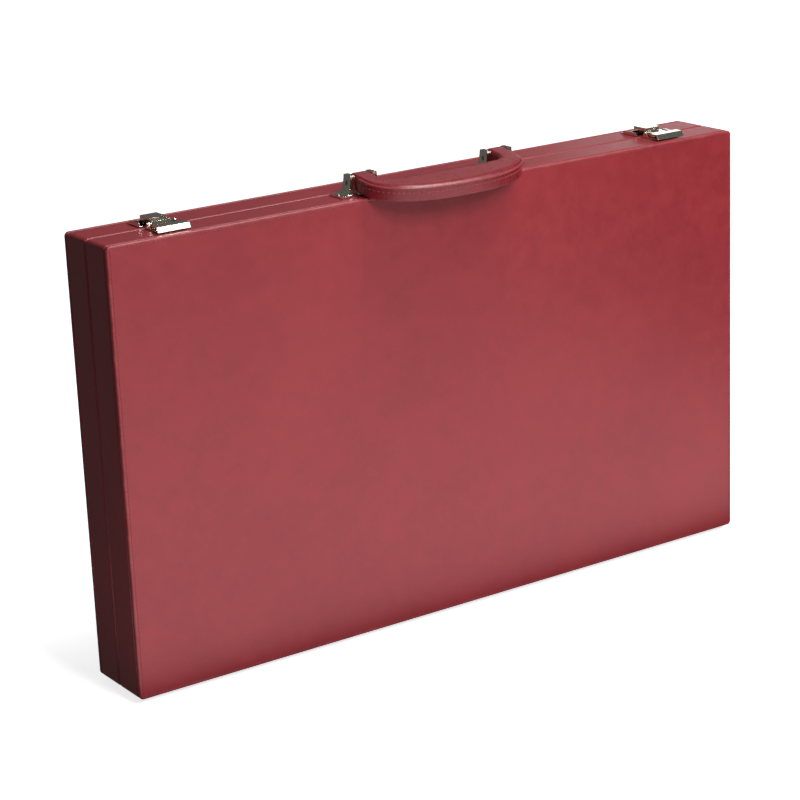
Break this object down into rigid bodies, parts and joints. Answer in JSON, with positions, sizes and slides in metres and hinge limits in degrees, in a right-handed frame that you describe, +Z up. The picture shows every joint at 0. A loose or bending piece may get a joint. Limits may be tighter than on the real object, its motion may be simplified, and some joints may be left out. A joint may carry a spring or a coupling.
{
  "type": "backgammon case",
  "caption": "Leather-covered backgammon case that opens flat on a long hinge into its own board, with two draw latches and a folding carrying handle.",
  "frame": {"origin": "bottom centre of the closed case's bounding box, on the ground plane that its feet stand on", "axes": "+X along the case, +Y from the front half (with the handle) to the back half, +Z up from the hinge side to the handle side"},
  "size_m": [0.545, 0.0914, 0.3435],
  "materials": {
    "panel_leather": "smooth, semi-gloss oxblood",
    "rim_leather": "smooth, semi-gloss oxblood",
    "handle_leather": "semi-gloss oxblood, stitched",
    "field_felt": "short nap",
    "bar_leather": "smooth",
    "nickel": "polished",
    "foot_nickel": "polished",
    "hinge_steel": "satin",
    "pin_steel": "satin"
  },
  "bodies": {
    "front_half": {"front_panel": "panel_leather", "front_top_rail": "rim_leather", "front_bottom_rail": "rim_leather", "front_left_rail": "rim_leather", "front_right_rail": "rim_leather", "front_playing_field": "field_felt", "front_half_bar": "bar_leather", "front_well_rail": "bar_leather", "front_well_divider": "bar_leather", "front_hinge_leaf": "hinge_steel", "front_foot_left": "foot_nickel", "front_foot_right": "foot_nickel", "hinge_pin": "hinge_steel", "handle_bracket_left": "nickel", "handle_pin_left": "pin_steel", "bracket_rivet_left_1": "nickel", "bracket_rivet_left_2": "nickel", "latch_base_left": "nickel", "latch_base_rivet_left_1": "nickel", "latch_base_rivet_left_2": "nickel", "handle_bracket_right": "nickel", "handle_pin_right": "pin_steel", "bracket_rivet_right_1": "nickel", "bracket_rivet_right_2": "nickel", "latch_base_right": "nickel", "latch_base_rivet_right_1": "nickel", "latch_base_rivet_right_2": "nickel"},
    "back_half": {"back_panel": "panel_leather", "back_top_rail": "rim_leather", "back_bottom_rail": "rim_leather", "back_left_rail": "rim_leather", "back_right_rail": "rim_leather", "back_playing_field": "field_felt", "back_half_bar": "bar_leather", "back_well_rail": "bar_leather", "back_well_divider": "bar_leather", "back_hinge_leaf": "hinge_steel", "back_foot_left": "foot_nickel", "back_foot_right": "foot_nickel", "latch_strike_left": "nickel", "latch_strike_rivet_left_1": "nickel", "latch_strike_rivet_left_2": "nickel", "latch_strike_right": "nickel", "latch_strike_rivet_right_1": "nickel", "latch_strike_rivet_right_2": "nickel"},
    "handle": {"handle_grip": "handle_leather"},
    "left_lever": {"latch_lever_left": "nickel", "latch_link_pin_left": "pin_steel"},
    "left_link": {"latch_link_left": "nickel"},
    "right_lever": {"latch_lever_right": "nickel", "latch_link_pin_right": "pin_steel"},
    "right_link": {"latch_link_right": "nickel"}
  },
  "joints": [
    {"name": "case_hinge", "type": "hinge", "parent": "front_half", "child": "back_half", "pos_m": [0, 0.01524, 0.0019], "axis": [-1, 0, 0], "range_deg": [0, 180]},
    {"name": "handle_fold", "type": "hinge", "parent": "front_half", "child": "handle", "pos_m": [0, 0.00275, 0.3371], "axis": [-1, 0, 0], "range_deg": [0, 190]},
    {"name": "left_latch_lever", "type": "hinge", "parent": "front_half", "child": "left_lever", "pos_m": [-0.217, 0.00924, 0.3315], "axis": [-1, 0, 0], "range_deg": [0, 110]},
    {"name": "left_latch_link", "type": "hinge", "parent": "left_lever", "child": "left_link", "pos_m": [-0.217, 0.00265, 0.3308], "axis": [-1, 0, 0], "range_deg": [-110, 0]},
    {"name": "right_latch_lever", "type": "hinge", "parent": "front_half", "child": "right_lever", "pos_m": [0.217, 0.00924, 0.3315], "axis": [-1, 0, 0], "range_deg": [0, 110]},
    {"name": "right_latch_link", "type": "hinge", "parent": "right_lever", "child": "right_link", "pos_m": [0.217, 0.00265, 0.3308], "axis": [-1, 0, 0], "range_deg": [-110, 0]}
  ],
  "couplings": [
    {"joint": "left_latch_link", "follows": "left_latch_lever", "ratio": -1},
    {"joint": "right_latch_link", "follows": "right_latch_lever", "ratio": -1}
  ]
}
